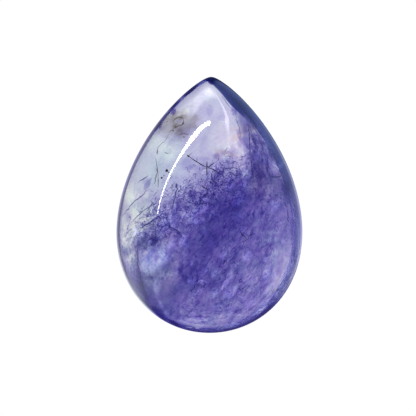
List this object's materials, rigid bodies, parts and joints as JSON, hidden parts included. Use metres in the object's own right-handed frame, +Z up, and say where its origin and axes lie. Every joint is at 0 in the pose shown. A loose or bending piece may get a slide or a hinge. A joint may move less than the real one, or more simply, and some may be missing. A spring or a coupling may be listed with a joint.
{
  "type": "tanzanite cabochon",
  "caption": "Pear-shaped polished tanzanite cabochon: high dome, soft ridge to the point, bevelled girdle and flat base, for a bezel setting.",
  "frame": {"origin": "middle of the bounding box, on the plane of the flat base", "axes": "+Y towards the point of the pear, +Z up through the dome, +X across the girdle"},
  "size_m": [0.01, 0.0138, 0.0063],
  "materials": {
    "tanzanite": "polished"
  },
  "bodies": {
    "root": {"tanzanite_cabochon": "tanzanite"}
  },
  "joints": []
}
